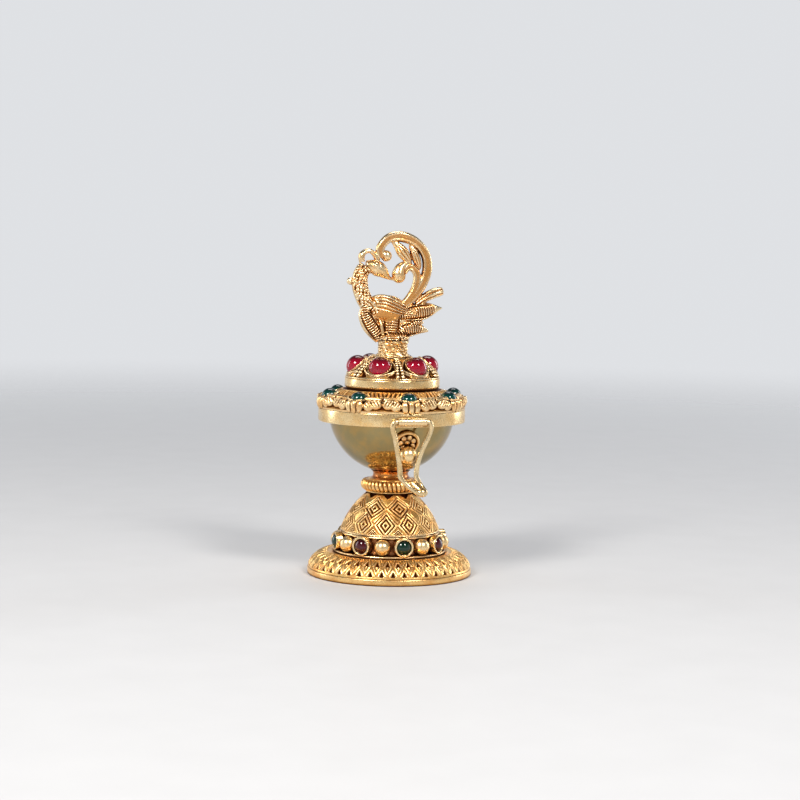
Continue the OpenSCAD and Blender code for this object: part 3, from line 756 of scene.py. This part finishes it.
def border_detail(points):
    """Chased creases and a drilled dot between every two stones, with painted shade in the creases, the dots
    and the ground near the border's core.
    """
    r, z = np.hypot(points[:, 0], points[:, 1]), points[:, 2]
    core = np.array(BORDER_CORE[1:])
    gap = np.full(len(points), 9.0)
    for (r1, z1), (r2, z2) in zip(core[:-1], core[1:]):
        t = np.clip(((r - r1) * (r2 - r1) + (z - z1) * (z2 - z1)) / ((r2 - r1) ** 2 + (z2 - z1) ** 2), 0, 1)
        gap = np.minimum(gap, np.hypot(r - r1 - t * (r2 - r1), z - z1 - t * (z2 - z1)))
    turns = np.arctan2(points[:, 0], -points[:, 1]) * BORDER_COUNT / TAU
    from_stone = np.abs(turns - np.round(turns)) * TAU / BORDER_COUNT * r
    from_gap = np.abs(turns - 0.5 - np.round(turns - 0.5)) * TAU / BORDER_COUNT * r
    front = smooth(r, 20.6, 21.1)
    seam = np.exp(-((from_stone - 0.9) / 0.17) ** 2) * (z < 51.8)
    slant = np.abs(np.sin(math.pi * (from_gap - 0.6 * (z - 51.0)) / 0.95)) ** 0.8
    crease = (1 - slant) * smooth(z, 50.3, 50.9) * (1 - smooth(from_gap, 4.9, 5.5))
    crease *= smooth(from_gap, 0.2, 0.5)
    dot = (1 - smooth(np.hypot(from_gap, r - 20.05), 0.3, 0.55)) * (z > 52.2)
    press = front * (0.3 * seam + 0.38 * crease)
    pressed = points.copy()
    pressed[:, :2] *= (1 - press / r)[:, None]
    pressed[:, 2] -= 0.5 * dot
    # Painted shade near the core, in the seams and creases, and in the drilled dots
    crevice_shade = np.maximum(1 - smooth(gap, 0.12, 0.45), front * np.clip(0.9 * seam + 1.1 * crease - 0.15, 0, 0.9))
    return pressed, np.maximum(crevice_shade, dot)


def make_border():
    shapes = [revolve(BORDER_CORE, 360)]
    shapes += [spin(s, a) for a in ring_of(BORDER_COUNT) for s in border_fan()]
    between = border_scroll(-1) + border_scroll(1) + [border_ledge()]
    shapes += [spin(s, a) for a in ring_of(BORDER_COUNT, 22.5) for s in between]
    fused("border_scrollwork", shapes, 0.14, CASTING,
          "lid", "border_casting", border_detail, 1)

    base = BORDER_STONE[0]
    beads_at = base + 0.55
    cup = [bezel(base, 0.42, 1.2, 0.45)]
    cup += [ball((beads_at * math.sin(a), beads_at * math.cos(a), 0.2), 0.27, 10) for a in ring_of(24)]
    build("border_cups", seated(cup, BORDER_SEAT, BORDER_COUNT), CASTING,
          "lid", "border_bezels")
    stones = seated([cabochon(*BORDER_STONE)], BORDER_SEAT, BORDER_COUNT)
    build("border_emerald_glass", stones, EMERALD, "lid", "border_emeralds")


def on_cone(angle, run, lift):
    """Point on the tier's cone: run goes from 0 at its foot to 1 at the neck."""
    at = run * (len(CONE_RUN) - 1)
    i = min(int(at), len(CONE_RUN) - 2)
    p = CONE_RUN[i] + (CONE_RUN[i + 1] - CONE_RUN[i]) * (at - i)
    d = CONE_RUN[i + 1] - CONE_RUN[i]
    out = np.array([d[1], -d[0]]) / np.linalg.norm(d)
    r, z = p + out * lift
    return r * math.sin(angle), -r * math.cos(angle), z


def rib_slots(angle, run):
    """Slots that widen downwards on both sides of each beaded rib, with painted shade in them."""
    turns = (angle - math.radians(TIER_TURN)) * TIER_COUNT / TAU
    beside = np.abs(turns - np.round(turns)) * 360 / TIER_COUNT
    wide = 4.6 * (1.15 - run)
    slot = 1 - smooth(np.abs(beside - 5.2 - wide * 0.9), wide - 0.5, wide + 0.5)
    slot = slot * (1 - smooth(run, 0.78, 0.86)) * smooth(run, 0.03, 0.07)
    return -0.6 * slot, slot


def tier_cup():
    """Ruby's cup, with an eye-shaped rim that is drawn down at both corners."""
    base = TIER_STONE[0]
    t = np.linspace(0, TAU, 72, endpoint=False)
    corner = np.abs(np.cos(t))
    rim = np.stack([(base + 0.42) * (1 + 0.30 * corner ** 5) * np.cos(t), (base + 0.38) * np.sin(t),
                    -0.75 * corner ** 3], 1)
    under = np.stack([rim[:, 0] * 0.96, rim[:, 1] * 0.96, rim[:, 2] - 0.7], 1)
    rims = [sweep(rim, 0.27, 12, closed=True), sweep(under, 0.65, 10, closed=True)]
    return [bezel(base, 0.3, 1.5, 0.3)] + rims


def make_tier():
    inner = TIER_R - DRUM_WALL
    ring = rounded([(inner, TIER_Z), (TIER_R - 0.55, TIER_Z), (TIER_R, TIER_Z + 0.6), (TIER_R, CONE_Z - 0.5),
                    (TIER_R - 0.5, CONE_Z), (inner, CONE_Z)], 0.3, 4)
    wire = torus(TIER_R - 0.35, 0.3, CONE_Z - 0.05)
    build("tier_ring_drum", [revolve(ring, 256), wire], SATIN, "lid", "tier_ring")
    inside = [(SCREW_HOLE, NECK_Z), (SCREW_HOLE, NECK_Z - 1), (4, NECK_Z - 1), (9.8, 60), (12, 58.3),
              (inner, CONE_Z)]
    cone = revolve(np.vstack([CONE_RUN, inside]), 480, (len(CONE_RUN), rib_slots))
    build("tier_cone_ground", [cone], ANTIQUE, "lid", "tier_cone", 60)

    ribs = []
    for a in ring_of(TIER_COUNT, TIER_TURN):
        for t, size in zip(np.linspace(0.06, 0.84, 9), np.linspace(0.6, 0.42, 9)):
            for side in (-1, 1):
                spread = side * math.radians(3.4 - 1.6 * t)
                ribs.append(ball(on_cone(a + spread, t, 0.3), size, 14))
    build("tier_beaded_ribs", ribs, CASTING, "lid", "tier_ribs")

    between_ribs = 180 / TIER_COUNT + TIER_TURN
    build("tier_cups", seated(tier_cup(), TIER_SEAT, TIER_COUNT, between_ribs), CASTING,
          "lid", "tier_bezels")
    stones = seated([cabochon(*TIER_STONE)], TIER_SEAT, TIER_COUNT, between_ribs)
    build("tier_ruby_glass", stones, RUBY, "lid", "tier_rubies")


def rough_cast(angle, run):
    """Uneven dents and faint upright seams of a rough casting, with painted shade that is deeper in the
    dents.
    """
    wave = np.sin(angle * 5 + 2.3 * np.sin(run * 9)) * np.sin(run * 22 + 1.7 * np.sin(angle * 3))
    dent = wave + 0.7 * np.sin(angle * 13 + run * 31) * np.sin(angle * 7 - run * 17)
    return 0.15 * dent, np.clip(0.12 - dent * 0.4, 0, 0.7)


def make_neck():
    side = [(4.8, NECK_Z + 0.05), (4.85, NECK_Z + 0.6), (4.5, NECK_Z + 1.1), (4.25, NECK_Z + 1.7),
            (4.3, NECK_Z + 2.3), (4.15, NECK_Z + 2.9), (4.2, NECK_Z + 3.5), (4.25, NECK_Z + 4.1),
            (4.5, BIRD_Z - 0.3)]
    run = spline(side, 7)
    top = [(4.6, BIRD_Z), (0.01, BIRD_Z), (0.01, NECK_Z + 4), (SCREW_HOLE, NECK_Z + 4), (SCREW_HOLE, NECK_Z)]
    neck = revolve(np.vstack([run, top]), 300, (len(run), rough_cast))
    build("finial_neck_cast", [neck], CASTING, "lid", "finial_neck", 60)


# Bird: every line is a list of (x, z, half width) ----------

TAIL = [(2.8, 78.3, 1.2), (5.2, 80.3, 1.35), (7.5, 82.9, 1.4), (9.1, 85.9, 1.45), (9.9, 89.0, 1.45),
        (9.6, 92.3, 1.4), (8.2, 95.0, 1.4), (5.9, 97.0, 1.5), (3.2, 98.1, 1.6), (0.7, 98.4, 1.55),
        (-1.8, 97.8, 1.4), (-3.6, 96.1, 1.3), (-4.4, 94.2, 1.3), (-3.9, 92.2, 1.15)]
INNER = [(2.6, 78.4, 1.0), (4.6, 80.6, 1.1), (6.2, 83.2, 1.15), (6.9, 85.8, 1.15), (6.6, 88.0, 1.1),
         (5.2, 89.4, 1.05), (3.9, 89.2, 0.95), (3.0, 88.0, 0.9)]
BULB = [(4.6, 90.5, 0.5), (3.2, 90.3, 1.0), (1.9, 89.2, 1.6), (1.4, 87.7, 2.0), (1.4, 86.8, 2.0)]
NECK = [(-6.9, 77.6, 2.3), (-8.4, 79.4, 2.35), (-9.6, 81.9, 2.35), (-10.2, 84.5, 2.35), (-10.0, 87.1, 2.25),
        (-9.0, 89.2, 2.1)]
HEAD = [(-8.4, 89.6, 1.7), (-6.6, 89.6, 1.95), (-5.0, 89.0, 2.3), (-3.7, 88.2, 2.0), (-2.6, 87.2, 1.25),
        (-1.4, 86.3, 0.55), (0.3, 85.7, 0.2)]
CREST = [(-9.7, 90.9, 0.85), (-9.8, 92.6, 0.95), (-9.0, 93.7, 0.8), (-7.4, 94.1, 0.7), (-6.0, 93.0, 0.7),
         (-4.9, 91.2, 0.8)]
LEAVES = [
    [(-9.1, 78.4, 0.6), (-8.6, 75.6, 1.95), (-7.1, 72.8, 2.4), (-5.3, 70.4, 2.2), (-4.0, 68.3, 1.4)],
    [(-0.9, 68.3, 2.9), (-0.9, 70.6, 3.1), (-0.8, 72.8, 3.2), (-0.7, 74.8, 3.2)],
    [(1.4, 70.0, 1.5), (3.4, 71.2, 2.3), (5.6, 71.7, 2.3), (7.8, 71.6, 1.6), (9.6, 71.2, 0.75),
     (10.7, 70.9, 0.15)],
    [(1.4, 75.4, 1.3), (3.6, 75.9, 2.1), (6.2, 76.4, 2.6), (8.8, 76.8, 2.65), (11.4, 77.3, 1.85),
     (13.4, 77.6, 0.8), (14.8, 77.7, 0.15)],
    [(5.6, 73.2, 1.1), (7.4, 73.5, 1.0), (9.2, 73.4, 0.2)]]
TOP_LEAF = [(6.8, 78.9, 0.9), (9.4, 80.7, 1.3), (11.8, 81.9, 1.5), (13.8, 82.5, 1.4), (14.7, 82.7, 1.1)]
STALKS = [[(-4.3, 74.4, 0.5), (-4.0, 72.8, 0.8), (-3.6, 70.6, 0.85), (-3.3, 68.4, 0.9)],
          [(2.0, 72.2, 0.4), (2.4, 70.6, 0.55), (2.7, 68.4, 0.7)],
          [(-2.9, 70.6, 0.35), (-1.0, 69.9, 0.5), (1.6, 69.5, 0.45)]]
BUDS = [[(-0.8, 97.0, 0.4), (0.9, 95.6, 1.2), (2.4, 93.8, 1.75), (4.0, 91.8, 1.2), (5.0, 90.4, 0.4)],
        [(4.6, 96.0, 0.4), (5.7, 94.0, 1.1), (6.6, 92.0, 1.3), (7.3, 90.0, 0.9), (7.5, 88.8, 0.35)]]
WING = [(-7.6, 79.0, 0.8), (-5.6, 79.4, 1.9), (-3.0, 79.2, 2.4), (0.0, 78.2, 2.1), (3.0, 77.0, 1.5),
        (6.0, 76.4, 0.8)]
BELLY, BELLY_HALF = (-2.2, 77.4), (5.9, 2.35, 4.0)
EYE_X, EYE_Y, EYE_Z = -5.9, 1.95, 89.9

# How each line is chased
CHASED = {"channel": [TAIL, INNER], "scales": [NECK], "plain": [HEAD, CREST, BULB] + STALKS,
          "leaf": LEAVES, "blade": [TOP_LEAF], "bud": BUDS, "wing": [WING]}


def bird_tube(line, thick, sides=16):
    """Ribbon of the bird, thick millimetres through at its widest."""
    p = spline(line, 6)
    flat = thick / 2 / max(p[:, 2])
    route = np.stack([p[:, 0], np.zeros(len(p)), p[:, 1]], 1)
    return sweep(route, p[:, 2], sides, up=(0, 1, 0), flat=flat)


def nearest_on(lines, points):
    """For each point: its nearest line, how far along it in millimetres, and how far across, as a share of
    the half width there."""
    x, z = points[:, 0], points[:, 2]
    best = np.full(len(points), 9.0)
    which = np.full(len(points), -1)
    along, across = np.zeros(len(points)), np.zeros(len(points))
    for k, line in enumerate(lines):
        p = spline(line, 8)
        run = np.concatenate([[0], np.cumsum(np.hypot(*np.diff(p[:, :2], axis=0).T))])
        heading = np.gradient(p[:, :2], axis=0)
        heading /= np.linalg.norm(heading, axis=1)[:, None]
        for i in range(len(p)):
            dx, dz = x - p[i, 0], z - p[i, 1]
            half = max(p[i, 2], 0.3)
            share = np.hypot(dx, dz) / half
            closer = share < best
            best = np.where(closer, share, best)
            which = np.where(closer, k, which)
            along = np.where(closer, run[i] + dx * heading[i, 0] + dz * heading[i, 1], along)
            across = np.where(closer, (dz * heading[i, 0] - dx * heading[i, 1]) / half, across)
    return which, along, across, best


def pebbles(u, v, size):
    """Height, 0 to 1, of round pebbles strewn unevenly over a plane measured in millimetres."""
    u, v = u / size, v / size
    best = np.full(len(u), 9.0)
    for du in (-1, 0, 1):
        for dv in (-1, 0, 1):
            cell_u, cell_v = np.floor(u) + du, np.floor(v) + dv
            shift_u = 0.5 + 0.3 * np.sin(cell_u * 12.9 + cell_v * 78.2)
            shift_v = 0.5 + 0.3 * np.sin(cell_u * 39.3 + cell_v * 11.1)
            best = np.minimum(best, np.hypot(u - cell_u - shift_u, v - cell_v - shift_v))
    return np.clip(1.05 - (best / 0.62) ** 2, 0, 1)


def bird_parts(points):
    """For each point: how it is chased, how far along its line it lies, and how far across."""
    lines = [line for members in CHASED.values() for line in members]
    kinds = [kind for kind, members in CHASED.items() for _ in members] + ["none"]
    which, along, across, share = nearest_on(lines, points)
    _, wing_along, wing_across, wing_share = nearest_on([WING], points)
    x, y, z = points.T
    in_belly = np.hypot((x - BELLY[0]) / BELLY_HALF[0], (z - BELLY[1]) / BELLY_HALF[2]) < 0.93
    on_belly = in_belly & (np.abs(y) > 1.3) & (nearest_on([NECK], points)[3] > 0.95)
    on_wing = (wing_share < 1.0) & (np.abs(y) > 1.2)
    kind = np.array(kinds)[np.where(share > 1.3, -1, which)]
    kind = np.where(on_wing, "wing", np.where(on_belly, "belly", kind))
    return kind, np.where(on_wing, wing_along, along), np.where(on_wing, wing_across, across)


def bird_detail(points):
    """Chasing on the bird's skin: channelled scrolls, scales, feather lines, leaf veins and ribs, with
    painted shade in their hollows.
    """
    kind, along, across = bird_parts(points)
    a = np.abs(across)
    channel = np.exp(-(across / 0.5) ** 4)
    scale = pebbles(along, across * NECK[2][2], 0.88)
    rib = np.abs(np.sin(math.pi * (along + 0.5 * a * a) / 0.72)) ** 1.1
    leaf = np.maximum(0.85 * rib * (1 - smooth(a, 0.5, 0.66)), smooth(a, 0.68, 0.8))
    stripe = np.abs(np.cos(math.pi * across * 1.15))
    strand = np.abs(np.cos(math.pi * across * 1.6))
    feather = np.abs(np.cos(math.pi * across * 2.3 + 0.4))
    barb = np.abs(np.sin(math.pi * (along + across) / 1.7))
    body_side = smooth(along, 1.5, 3.0)
    quill = feather * body_side + barb * (1 - body_side)

    # How far each kind stands out, and how much painted shade it gets; the belly gets painted shade all over
    chased = {"belly": (0 * a, 0 * a + 0.34),
              "channel": (-0.42 * channel, 0.36 * channel),
              "scales": (0.5 * scale - 0.3, 0.95 - 1.6 * scale),
              "leaf": (0.6 * leaf - 0.4, 0.95 - 1.9 * leaf),
              "blade": (0.45 * stripe - 0.3, 0.95 - 1.7 * stripe),
              "bud": (0.3 * strand - 0.2, 0.9 - 1.4 * strand),
              "wing": (0.42 * quill - 0.2, 0.95 - 1.4 * quill)}
    masks = [kind == name for name in chased]
    depth = np.select(masks, [high for high, _ in chased.values()], 0.0)
    painted_shade = np.clip(np.select(masks, [low for _, low in chased.values()], 0.0), 0, 1)

    flank = smooth(np.abs(points[:, 1]), 0.5, 1.1)
    chiselled = points.copy()
    chiselled[:, 1] += np.sign(points[:, 1]) * depth * flank
    return chiselled, painted_shade * flank


def make_bird():
    ribbons = ((TAIL, 3.4, 20), (INNER, 3.2, 20), (NECK, 4.3, 20), (HEAD, 4.0, 20), (CREST, 2.5, 16),
               (BULB, 4.2, 24), (WING, 5.4, 20))
    shapes = [bird_tube(*ribbon) for ribbon in ribbons]
    shapes += [bird_tube(line, 3.6) for line in LEAVES + [TOP_LEAF]]
    shapes.append(ball((-0.8, 0, 74.4), 1, 24, (5.6, 1.2, 2.3)))
    shapes += [bird_tube(line, 4.6) for line in STALKS]
    shapes += [bird_tube(line, 2.8) for line in BUDS]
    belly = ball((BELLY[0], 0, BELLY[1]), 1, 40, BELLY_HALF)
    tail_end = ball((-2.45, 0, 92.7), 1.65, 28)
    bulb = ball((1.4, 0, 87.0), 1, 28, (2.05, 1.9, 2.2))
    breast_bead = ball((-13.0, 0, 85.3), 1.1, 20)
    shapes += [belly, tail_end, bulb, breast_bead]
    collar = [(-8.7 + 1.5 * math.cos(t), 2.15 * math.sin(t), 89.1 - 1.35 * math.cos(t))
              for t in np.linspace(0, TAU, 28, endpoint=False)]
    shapes.append(sweep(collar, 0.3, 8, closed=True, up=(0.66, 0, 0.75)))
    calyx = [(0.01, BIRD_Z + 0.02), (4.5, BIRD_Z + 0.02), (4.9, BIRD_Z + 0.9), (4.3, BIRD_Z + 1.7),
             (0.01, BIRD_Z + 1.8)]
    shapes.append(revolve(rounded(calyx, 0.3), 64))
    for side in (-1, 1):
        shapes.append(ball((EYE_X, side * EYE_Y, EYE_Z), 0.42, 14))
        eyelid = [(EYE_X + 0.75 * math.cos(t), side * (EYE_Y - 0.05), EYE_Z + 0.66 * math.sin(t))
                  for t in np.linspace(0, TAU, 20, endpoint=False)]
        shapes.append(sweep(eyelid, 0.19, 8, closed=True, up=(0, 1, 0)))
    fused("peacock_casting", shapes, 0.13, BIRD_GOLD, "lid", "peacock", bird_detail)


# Clasp and fittings ----------

TUBE_Y, TUBE_Z = -22.4, 46.5
TUBE_HALF = reach("clasp_tube")
TUBE_R, WIRE_R = 1.22, 0.72
LOOP_SIDE = [(TUBE_HALF - 0.3, TUBE_Y, TUBE_Z), (5.1, -22.4, 46.4), (5.6, -22.4, 45.3), (5.45, -22.2, 44),
             (4.5, -21.9, 41.2), (3.5, -21.4, 38), (2.75, -20.9, 35), (2.45, -20.6, 32.6), (2.3, -20.7, 30.4),
             (1.9, -21.2, 28.4), (1.5, -22.2, 27), (0.8, -23.1, 26.2)]


# Where the loop starts to drift to the left and its tip to swing to the right, and how far
LEAN_TOP, TIP_TOP, DRIFT, TIP_SWING = 42, 31, 0.4, 3.7


def lean(z):
    """How far the loop's middle lies to the right at height z."""
    if z > LEAN_TOP:
        return 0.0
    if z > TIP_TOP:
        return -DRIFT * math.sin(math.radians(min(90, (LEAN_TOP - z) * 15)))
    return -DRIFT + TIP_SWING * ((TIP_TOP - z) / 4.8) ** 1.3


def make_clasp():
    half = spline(LOOP_SIDE, 6)
    left = [(-x + lean(z), y, z) for x, y, z in half]
    right = [(x + lean(z), y, z) for x, y, z in half[::-1]]
    loop = [sweep(left + right, WIRE_R, 20, closed=True, up=(0, 1, 0.2))]
    web = [(lean(z), y, z) for y, z in ((-21.0, 29.3), (-21.3, 28.5), (-21.8, 27.7), (-22.5, 26.9))]
    loop.append(sweep(web, np.array([0.4, 0.9, 1.25, 1.3]), 16, up=(0, 1, 0.3), flat=0.62))
    loop.append(ball((lean(26.4), -22.9, 26.5), 1, 28, (1.7, 1.2, 1.25)))
    build("clasp_wire_loop", loop, WIRE_GOLD, "clasp", "clasp_loop")

    tube = revolve(section(WIRE_R + 0.06, TUBE_R, -TUBE_HALF, TUBE_HALF, 0.12), 48)
    along_x = Matrix.Translation((0, TUBE_Y, TUBE_Z)) @ Matrix.Rotation(math.radians(90), 4, "Y")
    solder = [ball((x, -21.45, TUBE_Z), 1, 16, (1.2, 0.45, 0.75)) for x in np.linspace(-3.0, 3.0, 4)]
    build("clasp_hinge_tube", [moved(tube, along_x)] + solder, SATIN, "lid", "clasp_tube")


def dress_fittings():
    """CAD pieces whose shape is right as it is."""
    for name in ("stem_bolt", "stem_washer", "stem_nut", "finial_screw", "finial_washer"):
        dress(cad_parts[name], STEEL, 30)
    for name in ("hinge_leaf", "hinge_pin", "lid_knuckles"):
        dress(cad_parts[name], SATIN, 30)


# Stage ----------

def make_floor():
    """Pale table top that fades into the studio's own tone far from the object."""
    bpy.ops.mesh.primitive_circle_add(vertices=96, radius=2.2, fill_type="NGON", location=(0, 0, 0))
    floor = bpy.context.object
    floor.name = "floor"
    m, tree, bsdf = material("pale_floor")
    where = add(tree, "TexCoord").outputs["Object"]
    grain = noise(tree, where, Scale=60.0, Detail=4.0)
    grey = mix_colour(tree, grain, (0.56, 0.56, 0.57), (0.60, 0.60, 0.61))
    far = add(tree, "VectorMath", operation="LENGTH")
    feed(tree, far.inputs[0], where)
    feed(tree, bsdf.inputs["Base Color"], grey)
    feed(tree, bsdf.inputs["Roughness"], 0.6)
    feed(tree, bsdf.inputs["Alpha"], curve(tree, far.outputs["Value"], 0.12, 1.0, 1.0, 0.0))
    floor.data.materials.append(m)


def softbox(name, azimuth, elevation, distance, size, power, colour):
    """Area light that looks at the middle of the box, placed in degrees and metres."""
    a, e = math.radians(azimuth), math.radians(elevation)
    lamp = bpy.data.lights.new(name, "AREA")
    lamp.shape = "RECTANGLE"
    lamp.size, lamp.size_y = size
    lamp.energy = power
    lamp.color = colour
    light = linked(name, lamp)
    way = Vector((math.sin(a) * math.cos(e), -math.cos(a) * math.cos(e), math.sin(e)))
    light.location = Vector((0, 0, 0.05)) + distance * way
    light.rotation_euler = (-way).to_track_quat("-Z", "Y").to_euler()


def make_lights():
    warm, white, cool = (1.0, 0.97, 0.92), (1, 1, 1), (0.92, 0.96, 1.0)
    softbox("key_left", -50, 38, 0.75, (0.19, 0.19), 4.4, warm)
    softbox("key_right", 22, 40, 0.75, (0.17, 0.17), 3.4, warm)
    softbox("overhead", 160, 64, 0.9, (0.5, 0.3), 2.2, white)
    softbox("rim_right", 108, 14, 0.8, (0.10, 0.5), 1.5, cool)
    softbox("rim_left", -122, 14, 0.8, (0.10, 0.5), 1.2, cool)


def make_world():
    """Studio walls: pale all round, dim overhead, so that metal has contrast."""
    world = bpy.data.worlds.new("studio")
    world.use_nodes = True
    bpy.context.scene.world = world
    tree = world.node_tree
    way = add(tree, "SeparateXYZ")
    feed(tree, way.inputs[0], add(tree, "TexCoord").outputs["Generated"])
    behind = curve(tree, way.outputs["Y"], -0.95, 0.1)
    wall = mix_colour(tree, behind, (0.40, 0.41, 0.43), (0.74, 0.755, 0.78))
    roof = mix_colour(tree, curve(tree, way.outputs["Z"], 0.18, 0.6), wall, (0.12, 0.13, 0.15))
    feed(tree, tree.nodes["Background"].inputs["Color"], roof)
    bpy.context.scene.view_settings.view_transform = "Standard"


def make_camera():
    """Turned 15 degrees to the left of the clasp, a little above the lid, with a slight roll."""
    turn, pitch, roll, yaw = (math.radians(d) for d in (15.0, 4.813, 1.025, -0.242))
    distance, height, lens = 0.5594, 0.09795, 86.6
    right = Vector((math.cos(turn - yaw), -math.sin(turn - yaw), 0))
    ahead = Vector((math.sin(turn - yaw), math.cos(turn - yaw), 0))
    forward = ahead * math.cos(pitch) - Vector((0, 0, math.sin(pitch)))
    up = ahead * math.sin(pitch) + Vector((0, 0, math.cos(pitch)))
    side = right * math.cos(roll) + up * math.sin(roll)
    top = up * math.cos(roll) - right * math.sin(roll)
    data = bpy.data.cameras.new("camera")
    data.lens = lens
    data.clip_start = 0.01
    camera = linked("camera", data)
    place = Matrix.Translation((-distance * math.sin(turn), -distance * math.cos(turn), height))
    camera.matrix_world = place @ Matrix((side, top, -forward)).transposed().to_4x4()
    bpy.context.scene.camera = camera


for make in (make_camera, make_lights, make_world, make_floor, make_foot, make_gallery, make_dome, make_stem,
             make_bowl, make_catch, make_lid, make_border, make_tier, make_neck, make_bird, make_clasp,
             dress_fittings):
    make()
